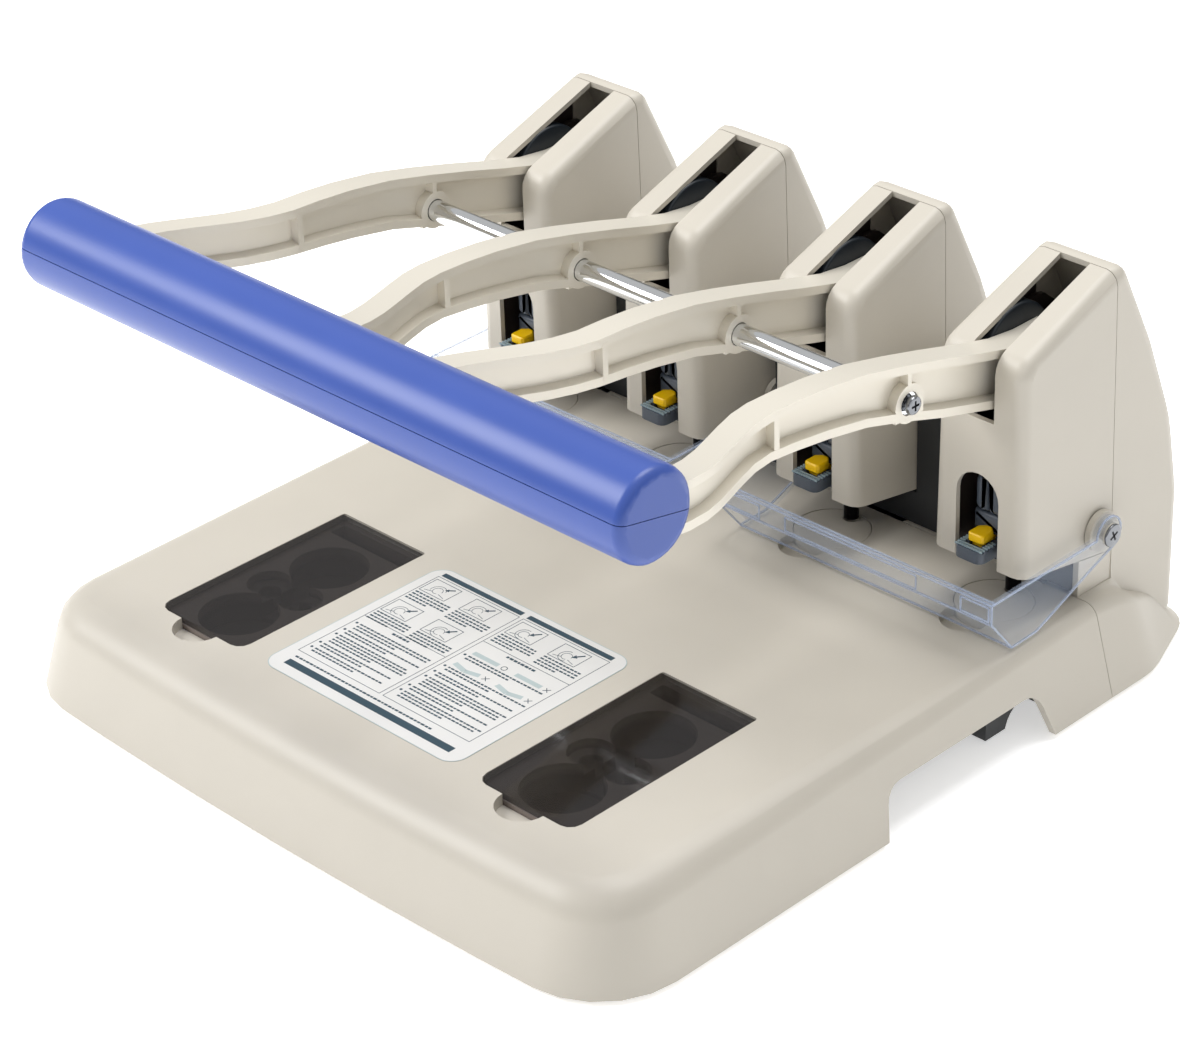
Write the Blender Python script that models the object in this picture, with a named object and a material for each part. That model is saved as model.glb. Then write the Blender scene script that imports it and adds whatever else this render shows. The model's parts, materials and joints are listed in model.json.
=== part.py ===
"""A heavy-duty four-hole lever punch, modelled as the separate pieces it is assembled from.

Pieces are drawn in millimetres in the bench frame: X runs to the user's right along the row
of punches, Y runs to the back and is 0 on the punch line, Z is 0 on the paper table.
place() turns each finished piece into metres and sets it in the world, where Z is 0 under
the rubber feet and the origin is below the middle of the whole machine.
"""

import math

import bmesh
import bpy
from mathutils import Matrix, Vector

# Driving dimensions, in millimetres
HOLE_PITCH = 80.0
HEADS = [(n - 1.5) * HOLE_PITCH for n in range(4)]
GAP = 0.3
WALL = 2.2

TABLE_HEIGHT = 38.0
SKIRT_BOTTOM = -36.0
FOOT_BOTTOM = -TABLE_HEIGHT
HALF_WIDTH = 160.0
FRONT_Y = -262.0
BACK_Y = 77.0
DRAFT = 0.278
TABLE_THICKNESS = 3.0
SEAM_Y = 10.5
REAR_CORNER = 17.0

HEAD_HALF = 21.5
HEAD_FRONT = -22.5
HEAD_SEAM = 30.0
RIDGE = 127.6
HEAD_TAPER = 0.00102
ROOF_SLOPE = 0.355
ROUNDING = 5.0
SLOT_HALF = 6.75
SLOT_BOTTOM = 81.0
WINDOW_HALF = 9.8
WINDOW_TOP = 58.6

PIVOT = (25.0, 92.0)
HUB_RADIUS = 13.5
PIVOT_RADIUS = 4.0
ARM_HALF = 5.5
ARM_END = -207.0
SPLAY = 17.0
ROD = (-67.5, 107.0)
ROD_RADIUS = 4.2

BAR = (-219.5, 137.0)
BAR_RADIUS = 17.0
BAR_WALL = 3.0
BAR_HALF = 152.0
BAR_TILT = math.radians(-11.5)
CORE_RADIUS = 4.0

PIN_RADIUS = 3.0
CARRIER_RADIUS = 7.5
NECK_RADIUS = 3.0
DISC_Y = -11.0
DISC_RADIUS = 15.0
DISC_THICKNESS = 7.0

TRAY_X = 86.2
TRAY_HALF = 23.3
TRAY_FRONT = -221.8
TRAY_BACK = -128.7
LID_THICKNESS = 2.4
WELL_RADIUS = 15.5

HINGE = (21.4, 24.8)
GUARD_THICKNESS = 2.0

METRES = 0.001
MIDDLE = (FRONT_Y + BACK_Y) / 2
ORIGIN = Vector((0, -MIDDLE * METRES, TABLE_HEIGHT * METRES))

CREAM = (0.70, 0.66, 0.56)
CAST_CREAM = (0.72, 0.68, 0.59)
BLUE = (0.05, 0.11, 0.47)
CHARCOAL = (0.045, 0.05, 0.055)
SLATE = (0.06, 0.075, 0.09)
BLACK = (0.012, 0.012, 0.014)
YELLOW = (1.0, 0.63, 0.01)
STEEL = (0.55, 0.56, 0.58)
SMOKE = (0.10, 0.085, 0.08)
CLEAR = (0.80, 0.83, 0.88)


# ---------------------------------------------------------------- drawing helpers

def clear_scene():
    for obj in list(bpy.data.objects):
        bpy.data.objects.remove(obj, do_unlink=True)


def rounded(corners, steps=4):
    """A closed outline whose corners (a, b, radius) are turned into arcs."""
    outline = []
    count = len(corners)
    for i, (a, b, radius) in enumerate(corners):
        here = Vector((a, b))
        if radius == 0:
            outline.append((a, b))
            continue
        before = (Vector(corners[i - 1][:2]) - here).normalized()
        after = (Vector(corners[(i + 1) % count][:2]) - here).normalized()
        half = before.angle(after) / 2
        centre = here + (before + after).normalized() * radius / math.sin(half)
        start = here + before * radius / math.tan(half) - centre
        turn = start.angle_signed(here + after * radius / math.tan(half) - centre)
        for k in range(steps + 1):
            spoke = Matrix.Rotation(-turn * k / steps, 2) @ start
            outline.append(tuple(centre + spoke))
    return outline


def circle(a, b, radius, sides=24):
    angles = [2 * math.pi * k / sides for k in range(sides)]
    return [(a + radius * math.cos(t), b + radius * math.sin(t)) for t in angles]


def new_object(name, bm):
    bmesh.ops.recalc_face_normals(bm, faces=bm.faces)
    mesh = bpy.data.meshes.new(name)
    bm.to_mesh(mesh)
    bm.free()
    obj = bpy.data.objects.new(name, mesh)
    bpy.context.scene.collection.objects.link(obj)
    return obj


def loft(name, rings):
    """A closed solid through rings of equally many points, with flat ends."""
    bm = bmesh.new()
    rows = [[bm.verts.new(point) for point in ring] for ring in rings]
    for low, high in zip(rows, rows[1:]):
        for k in range(len(low)):
            n = (k + 1) % len(low)
            bm.faces.new((low[k], low[n], high[n], high[k]))
    bm.faces.new(rows[0])
    bm.faces.new(rows[-1])
    return new_object(name, bm)


def prism(name, outline, axis, low, high):
    """A closed solid: an outline drawn across the axis, drawn out along it from low to high."""
    place_point = {
        "X": lambda a, b, c: (c, a, b),
        "Y": lambda a, b, c: (a, c, b),
        "Z": lambda a, b, c: (a, b, c),
    }[axis]
    return loft(name, [[place_point(a, b, c) for a, b in outline] for c in (low, high)])


def box(name, x, y, z):
    return prism(name, [(x[0], y[0]), (x[1], y[0]), (x[1], y[1]), (x[0], y[1])], "Z", *z)


def rod(name, axis, a, b, radius, low, high, sides=24):
    return prism(name, circle(a, b, radius, sides), axis, low, high)


def settle(obj):
    """Turns an object's modifiers into its mesh."""
    graph = bpy.context.evaluated_depsgraph_get()
    old = obj.data
    obj.data = bpy.data.meshes.new_from_object(obj.evaluated_get(graph))
    obj.modifiers.clear()
    bpy.data.meshes.remove(old)
    return obj


def combine(target, operation, tools):
    for tool in tools:
        step = target.modifiers.new("step", "BOOLEAN")
        step.operation = operation
        step.solver = "EXACT"
        step.object = tool
    settle(target)
    for tool in tools:
        bpy.data.objects.remove(tool, do_unlink=True)
    return target


def cut(target, *tools):
    return combine(target, "DIFFERENCE", tools)


def fuse(target, *tools):
    return combine(target, "UNION", tools)


def bevel(obj, width, segments=3, angle=40):
    step = obj.modifiers.new("round", "BEVEL")
    step.width = width
    step.segments = segments
    step.limit_method = "ANGLE"
    step.angle_limit = math.radians(angle)
    return settle(obj)


def shift(obj, x=0.0, y=0.0, z=0.0):
    obj.data.transform(Matrix.Translation((x, y, z)))
    return obj


def tilt_x(obj, angle, about):
    """Turns a piece about a line along X through about, a (y, z) point."""
    centre = Vector((0, *about))
    turn = Matrix.Rotation(angle, 4, "X")
    obj.data.transform(Matrix.Translation(centre) @ turn @ Matrix.Translation(-centre))
    return obj


def copy_at(obj, name, x):
    twin = obj.copy()
    twin.data = obj.data.copy()
    twin.name = name
    bpy.context.scene.collection.objects.link(twin)
    return shift(twin, x=x)


def repeat_at_heads(obj, stem, pivot=(0.0, 0.0, 0.0)):
    """Places one copy of a piece drawn at x = 0 on each head, numbered from the left."""
    for number, x in enumerate(HEADS, 1):
        twin = copy_at(obj, f"{stem}_{number}", x)
        place(twin, (x + pivot[0], pivot[1], pivot[2]))
    bpy.data.objects.remove(obj, do_unlink=True)


def place(obj, pivot=(0.0, 0.0, 0.0)):
    """Gives a piece its metres, its origin on its joint's axis and its smooth shading."""
    pivot = Vector(pivot)
    obj.data.transform(Matrix.Scale(METRES, 4) @ Matrix.Translation(-pivot))
    obj.location = ORIGIN + pivot * METRES
    obj.data.shade_smooth()
    obj.data.set_sharp_from_angle(angle=math.radians(35))


def paint(obj, name, colour, roughness, metallic=0.0, alpha=1.0):
    material = bpy.data.materials.get(name)
    if material is None:
        material = bpy.data.materials.new(name)
        material.use_nodes = True
        shader = material.node_tree.nodes["Principled BSDF"]
        shader.inputs["Base Color"].default_value = (*colour, 1)
        shader.inputs["Roughness"].default_value = roughness
        shader.inputs["Metallic"].default_value = metallic
        shader.inputs["Alpha"].default_value = alpha
    obj.data.materials.clear()
    obj.data.materials.append(material)


# ---------------------------------------------------------------- base

def base_outline():
    """The skirt's lower edge: a slightly bowed front, and sides that draw in beside the heads."""
    bow = [(x, FRONT_Y + 5 * (x / HALF_WIDTH) ** 2, 0) for x in (-100, -50, 0, 50, 100)]
    side = [
        (HALF_WIDTH, 12, 0), (HALF_WIDTH, 22, 0), (HALF_WIDTH, 36, 40),
        (155, 49.2, 0), (151.6, 58.2, 0), (144.5, BACK_Y, REAR_CORNER),
    ]
    return rounded([
        (-HALF_WIDTH, FRONT_Y + 5, 35),
        *bow,
        (HALF_WIDTH, FRONT_Y + 5, 35),
        *side,
        *[(-x, y, radius) for x, y, radius in reversed(side)],
    ], steps=5)


def roll_radius(y):
    """The table's edge is tight beside the heads and soft at the front."""
    forward = min(max((-60 - y) / 140, 0), 1)
    return 6 + 8 * forward


def shoulder(y):
    """Height of the base's top beside the heads, which falls away to the back."""
    knots = [(12, 0), (18, -0.7), (25, -2.2), (36, -5.8), (50, -12), (62, -19.5), (BACK_Y, -29)]
    for (y0, z0), (y1, z1) in zip(knots, knots[1:]):
        if y < y1:
            return min(z0 + (z1 - z0) * (y - y0) / (y1 - y0), 0)
    return knots[-1][1]


def base_profile(y, wall):
    """How the base's skin rises from its lower edge at y: (distance inwards, height) pairs."""
    radius = roll_radius(y)
    lean = math.atan(DRAFT)
    centre = DRAFT * (-radius - SKIRT_BOTTOM) + radius * math.hypot(1, DRAFT)
    top = shoulder(y)
    squash = (top - SKIRT_BOTTOM) / -SKIRT_BOTTOM
    drop = 2 if wall else 0
    profile = [(-DRAFT * drop, SKIRT_BOTTOM - drop)]
    for step in range(5):
        angle = lean + (math.pi / 2 - lean) * step / 4
        height = SKIRT_BOTTOM + (-radius + radius * math.sin(angle) - SKIRT_BOTTOM) * squash
        profile.append((centre - radius * math.cos(angle), height - wall))
    blend = min(max((y - 12) / 30, 0), 1)
    for further, rise in ((1.6, 1.0), (2.6, 3.0), (3.3, 7.0)):
        profile.append((centre + further, min(top + rise * blend, 0) - wall))
    profile.append((centre + 4, -wall))
    return profile


def base_solid(name, wall):
    """The whole base's outer form, drawn in by the wall's thickness on every side but below."""
    outline = [Vector(point) for point in base_outline()]
    count = len(outline)
    rings = []
    for k, point in enumerate(outline):
        along = (outline[(k + 1) % count] - outline[k - 1]).normalized()
        inward = Vector((-along.y, along.x))
        furthest = REAR_CORNER - 0.5 if point.y > 60 else 100
        column = []
        for inset, z in base_profile(point.y, wall):
            spot = point + inward * min(inset + wall, furthest)
            column.append((spot.x, spot.y, z))
        rings.append(column)
    return loft(name, list(zip(*rings)))


def mirror_pair(make):
    """Both sides' tools of one kind."""
    return [make(side) for side in (-1, 1)]


def hand_hold(side):
    outline = rounded([
        (-117, -40, 0), (-111, -17.3, 8), (-28.5, -17.3, 9), (-22, -40, 0),
    ])
    return prism("hand_hold", outline, "X", *sorted((side * 120, side * 170)))


def tray_opening(side, grow=0.0, low=-12.0, high=3.0, front_radius=5.3):
    x = side * TRAY_X
    half = TRAY_HALF + grow
    front, back = TRAY_FRONT - grow, TRAY_BACK + grow
    outline = rounded([
        (x - half, front, front_radius), (x + half, front, front_radius),
        (x + half, back, 1.2), (x - half, back, 1.2),
    ], steps=3)
    return prism("tray_opening", outline, "Z", low, high)


def finger_notch(side, radius, low, high):
    return rod("notch", "Z", side * TRAY_X, TRAY_FRONT, radius, low, high, 28)


def make_base_shell():
    shell = base_solid("base_shell", 0)
    pads = [box("pad", (x - 13, x + 13), (-41, -9), (-6, -2)) for x in HEADS]
    pads += mirror_pair(lambda side: finger_notch(side, 12.5, -6.6, -2))
    hollow = base_solid("hollow", TABLE_THICKNESS)
    cut(shell, hollow)
    fuse(shell, *pads)
    tools = mirror_pair(hand_hold) + mirror_pair(tray_opening)
    tools += mirror_pair(lambda side: finger_notch(side, 10, -4.6, 3))
    for x in HEADS:
        tools.append(rod("disc_seat", "Z", x, DISC_Y, DISC_RADIUS + GAP, -12, 3, 32))
        tools.append(rod("scoop", "Z", x, -28, 9.5, -4, 3, 24))
    tools.append(box("back_part", (-200, 200), (SEAM_Y, 120), (-60, 20)))
    cut(shell, *tools)
    paint(shell, "cream_abs", CREAM, 0.42)
    place(shell)


def make_bottom_plate():
    outline = rounded([(-137, -250, 30), (137, -250, 30), (137, 60, 30), (-137, 60, 30)], 3)
    plate = prism("bottom_plate", outline, "Z", -35.7, -33.7)
    for side in (-1, 1):
        inner, outer = sorted((side * 136.4, side * 144))
        post = box("post", (inner, outer), (-44, -6), (-35.7, -20))
        tunnel = rod("tunnel", "X", -22, -38, 11, inner - 5, outer + 5, 24)
        hollow = box("hollow", sorted((side * 130, side * 141.5)), (-41.5, -8.5), (-33.7, -15))
        cut(post, tunnel, hollow)
        fuse(plate, post)
    paint(plate, "dark_moulding", CHARCOAL, 0.5)
    place(plate)


def make_feet():
    for name, y in (("foot_front", -225), ("foot_rear", 40)):
        outline = rounded([(-120, y - 7, 6), (120, y - 7, 6), (120, y + 7, 6), (-120, y + 7, 6)])
        strip = prism(name, outline, "Z", FOOT_BOTTOM, -36.0)
        bevel(strip, 0.8, 1)
        paint(strip, "black_rubber", BLACK, 0.85)
        place(strip)


def make_trays():
    for word, side in (("left", -1), ("right", 1)):
        make_tray_insert(f"tray_insert_{word}", side)
        make_tray_lid(f"tray_lid_{word}", side)


def make_tray_insert(name, side):
    """A moulded insert with two round wells for spare discs and a finger channel between."""
    x = side * TRAY_X
    body = tray_opening(side, -GAP, -17, -LID_THICKNESS - 0.5, 5)
    body.name = name
    flange = tray_opening(side, 3, -6.2, -TABLE_THICKNESS - GAP, 6)
    front = box("front", (x - 30, x + 30), (TRAY_FRONT - 10, TRAY_FRONT + GAP), (-10, 0))
    fuse(body, cut(flange, front))
    wells = [rod("well", "Z", x, y, WELL_RADIUS, -15, 0, 28) for y in (-202.5, -157.5)]
    wells.append(box("channel", (x - 5, x + 5), (-200, -160), (-13, 0)))
    for sign in (-1, 1):
        wells.append(rod("step", "Z", x + sign * 9, -180, 8.7, -7, 0, 20))
        wells.append(rod("socket", "Z", x + sign * 9, -180, 4.5, -11, 0, 16))
    slope = [(-139, 0), (-128, 0), (-128, -1), (-131.5, -1), (-133, -12), (-139, -3)]
    wells.append(prism("slope", slope, "X", x - TRAY_HALF + 3, x + TRAY_HALF - 3))
    cut(body, *wells)
    paint(body, "dark_insert", (0.035, 0.03, 0.028), 0.6)
    place(body)


def make_tray_lid(name, side):
    """A smoked lid whose rounded back edge is its hinge barrel."""
    lid = tray_opening(side, -GAP - 0.05, -LID_THICKNESS, 0, 5)
    lid.name = name
    x = side * TRAY_X
    edge = TRAY_BACK - GAP - 0.05
    radius = LID_THICKNESS / 2
    corner = box("corner", (x - 30, x + 30), (edge - radius, edge + 3), (-5, 3))
    barrel = rod("barrel", "X", edge - radius, -radius, radius, x - 22.9, x + 22.9, 16)
    cut(lid, corner)
    fuse(lid, barrel)
    paint(lid, "smoked_acrylic", SMOKE, 0.08, alpha=0.6)
    place(lid, (x, edge - radius, -radius))


# ---------------------------------------------------------------- heads

def roof(y):
    return RIDGE - ROOF_SLOPE * (36 - y)


def cover_bottom(y):
    """The lower edge of a head's front cover falls towards the back of the paper throat."""
    return 21.4 - 0.172 * (y - HEAD_FRONT)


def taper(obj):
    """Draws a head's sides in towards the roof."""
    for vertex in obj.data.vertices:
        vertex.co.x *= 1 - HEAD_TAPER * (vertex.co.z - cover_bottom(HEAD_FRONT))
    return obj


def tower_front(name, inset):
    """A head's front half, run on below its lower edge and behind its seam, where it is cut."""
    front = HEAD_FRONT + inset
    drop = 16 if inset else 10
    outline = rounded([
        (front, cover_bottom(front) - drop, 0),
        (front, roof(front) - inset, 9 - inset),
        (45, roof(45) - inset, 0),
        (45, cover_bottom(45) - drop, 0),
    ])
    half = HEAD_HALF - inset
    return taper(prism(name, outline, "X", -half, half))


def tower_rear(name, inset):
    """A head's back half: the ridge and the bowed back, started ahead of the seam."""
    foot = -10 if inset else -33
    outline = rounded([
        (15, foot, 0),
        (15, roof(15) - inset, 0),
        (36 - inset / 2, RIDGE - inset, 0),
        (54 - inset, 90, 60),
        (67 - inset, 55, 60),
        (72 - inset, 22, 60),
        (70.5 - inset, foot, 0),
    ], steps=2)
    half = HEAD_HALF - inset
    return taper(prism(name, outline, "X", -half, half))


def arm_slot():
    outline = [
        (-40, SLOT_BOTTOM), (-14, SLOT_BOTTOM), (-14, 96), (27, 110), (HEAD_SEAM + 1, 114),
        (HEAD_SEAM + 1, 145), (-40, 145),
    ]
    return prism("slot", outline, "X", -SLOT_HALF, SLOT_HALF)


def cassette_window():
    centre = WINDOW_TOP - WINDOW_HALF
    arch = [
        (WINDOW_HALF * math.cos(math.pi * k / 12), centre + WINDOW_HALF * math.sin(math.pi * k / 12))
        for k in range(13)
    ]
    outline = [(WINDOW_HALF, 5)] + arch + [(-WINDOW_HALF, 5)]
    return prism("window", outline, "Y", -30, -14)


def make_head_covers():
    cover = bevel(tower_front("head_cover", 0), ROUNDING)
    behind = box("behind", (-30, 30), (HEAD_SEAM, 60), (-10, 150))
    edge = [(-40, cover_bottom(-40)), (60, cover_bottom(60)), (60, -40), (-40, -40)]
    below = prism("below", edge, "X", -30, 30)
    cut(cover, tower_front("hollow", WALL), behind, below, arm_slot(), cassette_window())
    paint(cover, "cream_abs", CREAM, 0.42)
    repeat_at_heads(cover, "head_cover")


def rear_body(name, inset):
    """The rear moulding's outer form: base corner, four tower backs and the deck between."""
    body = base_solid(name, inset)
    front = SEAM_Y + GAP - (2 if inset else 0)
    cut(body, box("front_part", (-200, 200), (-300, front), (-60, 20)))
    if inset:
        fuse(body, box("under_deck", (-138.5, 138.5), (front, 65.5), (-38, -inset - 0.2)))
    tower = tower_rear("tower", inset)
    if not inset:
        bevel(tower, ROUNDING)
    start = HEAD_SEAM + GAP - (2 if inset else 0)
    cut(tower, box("before", (-30, 30), (0, start), (-20, 150)))
    towers = [copy_at(tower, f"tower_{x}", x) for x in HEADS]
    bpy.data.objects.remove(tower, do_unlink=True)
    floor = 0.5 if inset else -33
    deck_outline = rounded([
        (start, floor, 0), (start, 58 - inset, 0), (60 - inset, 58 - inset, 6),
        (66 - inset, 30, 30), (68 - inset if inset else 70, floor, 0),
    ], steps=3)
    half = HEADS[-1] - inset
    deck = prism("deck", deck_outline, "X", -half, half)
    fuse(body, *towers)
    return fuse(body, deck)


def make_rear_cover():
    cover = rear_body("rear_cover", 0)
    cheek = [(11, -2), (32, -2), (32, 11.6), (11, cover_bottom(11) - 0.4)]
    outer = HEADS[-1] + HEAD_HALF
    fuse(cover, *mirror_pair(lambda side: prism(
        "cheek", cheek, "X", *sorted((side * (outer - 2.5), side * outer)))))
    tools = [rear_body("hollow", 2.5)]
    tools += [box("column_way", (x - 17, x + 17), (9, 60), (-12, 6)) for x in HEADS]
    tools.append(box("drawer_way", (-100.4, 100.4), (60, 95), (-33.4, -20.6)))
    cut(cover, *tools)
    paint(cover, "cream_abs", CREAM, 0.42)
    place(cover)


def middle_panel(half):
    """Between the two guards the panel is a narrow box, which leaves room for their pivots."""
    narrow, front, back = 10.6, 12.5, 29.7
    hat = [
        (narrow, front), (narrow, back - 1.2), (half, back - 1.2), (half, back),
        (narrow - 2.5, back), (narrow - 2.5, front + 2.5),
    ]
    outline = hat + [(-a, b) for a, b in reversed(hat)]
    walls = prism("walls", outline, "Z", 5, 57)
    lid = box("lid", (-narrow, narrow), (front, back), (54.5, 57))
    return [walls, lid]


def make_back_gauge():
    """The dark plate that paper stops against, with a panel filling each gap between heads."""
    width = HEADS[-1] + HEAD_HALF - 2.5 - GAP
    gauge = box("back_gauge", (-width, width), (12.5, 15.5), (GAP, 14.0))
    half = HOLE_PITCH / 2 - HEAD_HALF - 0.5
    outline = rounded([
        (12.5, 5, 0), (12.5, 57, 4), (29.7, 57, 0), (29.7, 54.5, 0), (15.5, 54.5, 2), (15.5, 5, 0),
    ], steps=3)
    panels = [prism("panel", outline, "X", x - half, x + half) for x in (-HOLE_PITCH, HOLE_PITCH)]
    fuse(gauge, *panels, *middle_panel(half))
    cut(gauge, *mirror_pair(lambda side: rod(
        "boss_room", "X", *HINGE, 8.5, *sorted((side * 11, side * 20)))))
    paint(gauge, "dark_moulding", CHARCOAL, 0.5)
    place(gauge)


def make_head_frames():
    """A steel C-frame round the paper throat: two cheeks, a back web, two guides and the die bed."""
    outline = rounded([
        (-31, -18.8, 0), (52, -18.8, 0), (60, 0, 5), (60, 58, 5), (44, 96, 8), (28, 109, 6),
        (8, 104, 6), (-17, 84, 8), (-17, 20.6, 0), (17, 17.6, 0), (17, -7.6, 0), (-31, -7.6, 0),
    ], steps=1)
    frame = prism("head_frame", outline, "X", -15.6, 15.6)
    channel = box("channel", (-13.2, 13.2), (-40, 47), (-30, 120))
    pin_hole = rod("pin_hole", "X", *PIVOT, PIVOT_RADIUS + GAP, -20, 20, 16)
    cut(frame, channel, pin_hole)
    bed = box("bed", (-14, 14), (-31, 17), (-10.6, -7.6))
    low_guide = box("low_guide", (-14, 14), (-6, 17), (17.6, 19.9))
    high_guide = box("high_guide", (-14, 14), (-17, 14), (61, 65))
    fuse(frame, bed, low_guide, high_guide)
    cut(
        frame,
        rod("chip_hole", "Z", 0, 0, 4.5, -12, -5, 12),
        rod("pin_way", "Z", 0, 0, PIN_RADIUS + GAP, 15, 23, 16),
        rod("carrier_way", "Z", 0, 0, CARRIER_RADIUS + GAP, 58, 68, 20),
    )
    paint(frame, "dark_steel", SLATE, 0.45, 0.6)
    repeat_at_heads(frame, "head_frame")


def make_bed_plate():
    """The folded steel bed under all four frames, holed for the falling paper chips."""
    bed = box("bed_plate", (-136, 136), (-31, 52), (-21.2, -19.1))
    legs = mirror_pair(lambda side: box(
        "leg", sorted((side * 134, side * 136)), (-4, 52), (-33.4, -19.1)))
    fuse(bed, *legs)
    cut(bed, *[rod("chip_hole", "Z", x, 0, 6, -30, -10, 20) for x in HEADS])
    paint(bed, "zinc_steel", STEEL, 0.35, 0.9)
    place(bed)


def make_chip_tray():
    tray = box("chip_tray", (-100, 100), (-20, 75), (-33.1, -21.6))
    hollow = box("hollow", (-98, 98), (-18, 66), (-31.5, -10))
    grip = prism("grip", rounded([
        (-30, -33.5, 0), (30, -33.5, 0), (24, -27, 4), (-24, -27, 4)]), "Y", 68, 90)
    cut(tray, hollow, grip)
    paint(tray, "dark_moulding", CHARCOAL, 0.5)
    place(tray)


def make_pivot_pins():
    pin = rod("pivot_pin", "X", *PIVOT, PIVOT_RADIUS, -16.5, 17.2, 16)
    head = rod("head", "X", *PIVOT, PIVOT_RADIUS + 1.5, -17.4, -15.9, 16)
    fuse(pin, head)
    paint(pin, "bright_steel", STEEL, 0.25, 1.0)
    repeat_at_heads(pin, "pivot_pin", (0, *PIVOT))


def make_return_springs():
    """A torsion coil round each pivot pin, beside the lever's hub."""
    turns, per_turn, coil_radius, wire = 3, 10, 6.2, 0.8
    path = []
    for k in range(turns * per_turn + 1):
        angle = 2 * math.pi * k / per_turn
        x = 6.9 + 5.2 * k / (turns * per_turn)
        y = PIVOT[0] + coil_radius * math.cos(angle)
        z = PIVOT[1] + coil_radius * math.sin(angle)
        path.append((x, y, z))
    first, last = path[0], path[-1]
    path = [(first[0], first[1], first[2] - 12)] + path + [(last[0], last[1], last[2] + 9)]
    curve = bpy.data.curves.new("return_spring", "CURVE")
    curve.dimensions = "3D"
    curve.bevel_depth = wire
    curve.bevel_resolution = 0
    curve.use_fill_caps = True
    spline = curve.splines.new("POLY")
    spline.points.add(len(path) - 1)
    for point, spot in zip(spline.points, path):
        point.co = (*spot, 1)
    holder = bpy.data.objects.new("return_spring_curve", curve)
    bpy.context.scene.collection.objects.link(holder)
    graph = bpy.context.evaluated_depsgraph_get()
    mesh = bpy.data.meshes.new_from_object(holder.evaluated_get(graph))
    bpy.data.objects.remove(holder, do_unlink=True)
    spring = bpy.data.objects.new("return_spring", mesh)
    bpy.context.scene.collection.objects.link(spring)
    paint(spring, "bright_steel", STEEL, 0.25, 1.0)
    repeat_at_heads(spring, "return_spring")


# ---------------------------------------------------------------- punches

def make_punch_pins():
    pin = rod("punch_pin", "Z", 0, 0, PIN_RADIUS, 0.6, 39.5, 16)
    paint(pin, "black_oxide_steel", BLACK, 0.35, 0.7)
    repeat_at_heads(pin, "punch_pin")


def make_carriers():
    """The release cassette that holds a punch: a split body, a neck and a ribbed tab."""
    body = rod("carrier", "Z", 0, 0, CARRIER_RADIUS, 21.4, 68, 20)
    neck = rod("neck", "Z", 0, 0, NECK_RADIUS, 66, 80.2, 16)
    bevel(neck, 1, 1)
    stem = box("stem", (-4.5, 4.5), (-16, -4), (21.4, 30))
    tab = prism("tab", rounded([
        (-6.5, -8, 0), (-6.5, -28, 3), (6.5, -28, 3), (6.5, -8, 0)], 3), "Z", 24.5, 29.5)
    fuse(body, neck, stem, tab)
    tools = [rod("bore", "Z", 0, 0, PIN_RADIUS + GAP, 10, 40, 16)]
    tools.append(box("split", (-0.5, 0.5), (-9, -5.5), (33, 70)))
    tools.append(box("lock_way", (-2.9, 2.9), (-24.6, -9.5), (27.5, 35)))
    for k in range(5):
        y = -26.6 + 2.6 * k
        tools.append(box("rib_gap", (-8, 8), (y, y + 1.0), (28.8, 31)))
    cut(body, *tools)
    paint(body, "slate_nylon", SLATE, 0.5)
    repeat_at_heads(body, "punch_carrier")


def make_lock_tabs():
    """The yellow lock that slides forward in the tab to free a worn punch."""
    foot = box("lock_tab", (-2.5, 2.5), (-21.5, -10.5), (27.9, 29.6))
    knob = prism("knob", rounded([
        (-3.6, -23.5, 1.2), (3.6, -23.5, 1.2), (3.6, -17, 1), (1.8, -15.5, 0),
        (1.8, -11.5, 1), (-1.8, -11.5, 1), (-1.8, -15.5, 0), (-3.6, -17, 1)], 2), "Z", 29.9, 33.6)
    neck = box("neck", (-1.8, 1.8), (-20, -13), (28.5, 31))
    bevel(knob, 0.5, 1)
    fuse(foot, neck, knob)
    paint(foot, "yellow_nylon", YELLOW, 0.4)
    repeat_at_heads(foot, "lock_tab")


def make_cutting_discs():
    """A turnable cutting pad, off-centre to its punch so that each turn offers a fresh spot."""
    disc = rod("cutting_disc", "Z", 0, DISC_Y, DISC_RADIUS, -DISC_THICKNESS, -0.1, 32)
    cut(disc, rod("punch_hole", "Z", 0, 0, PIN_RADIUS + 0.2, -10, 2, 16))
    paint(disc, "cream_abs", CREAM, 0.42)
    repeat_at_heads(disc, "cutting_disc", (0, DISC_Y, 0))


# ---------------------------------------------------------------- lever

def arm_curve(y, knots):
    """Height of an arm's edge at y, read between its knots."""
    for (y0, z0), (y1, z1) in zip(knots, knots[1:]):
        if y <= y1:
            t = (y - y0) / (y1 - y0)
            return z0 + (z1 - z0) * t
    return knots[-1][1]


TOP_EDGE = [
    (ARM_END, 138), (-180, 134.6), (-160, 132.7), (-140, 131.7), (-125, 131.2), (-110, 130.0),
    (-90, 127.2), (-70, 122.6), (-50, 117.4), (-30, 111.8), (-12, 107.2), (2, 105.6), (25, 105.5),
]
BOTTOM_EDGE = [
    (ARM_END, 119.5), (-180, 116.4), (-160, 114.7), (-140, 113.8), (-125, 112.3), (-110, 110.3),
    (-90, 106.7), (-70, 100.9), (-50, 94.4), (-30, 88.8), (-12, 83.8), (2, 80.8), (25, 78.6),
]


def splay(y):
    """How far an arm has swung sideways at y: none at the rib, all of it at the bar."""
    t = min(max((-135 - y) / 62, 0), 1)
    return SPLAY * t * t * (3 - 2 * t)


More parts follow.
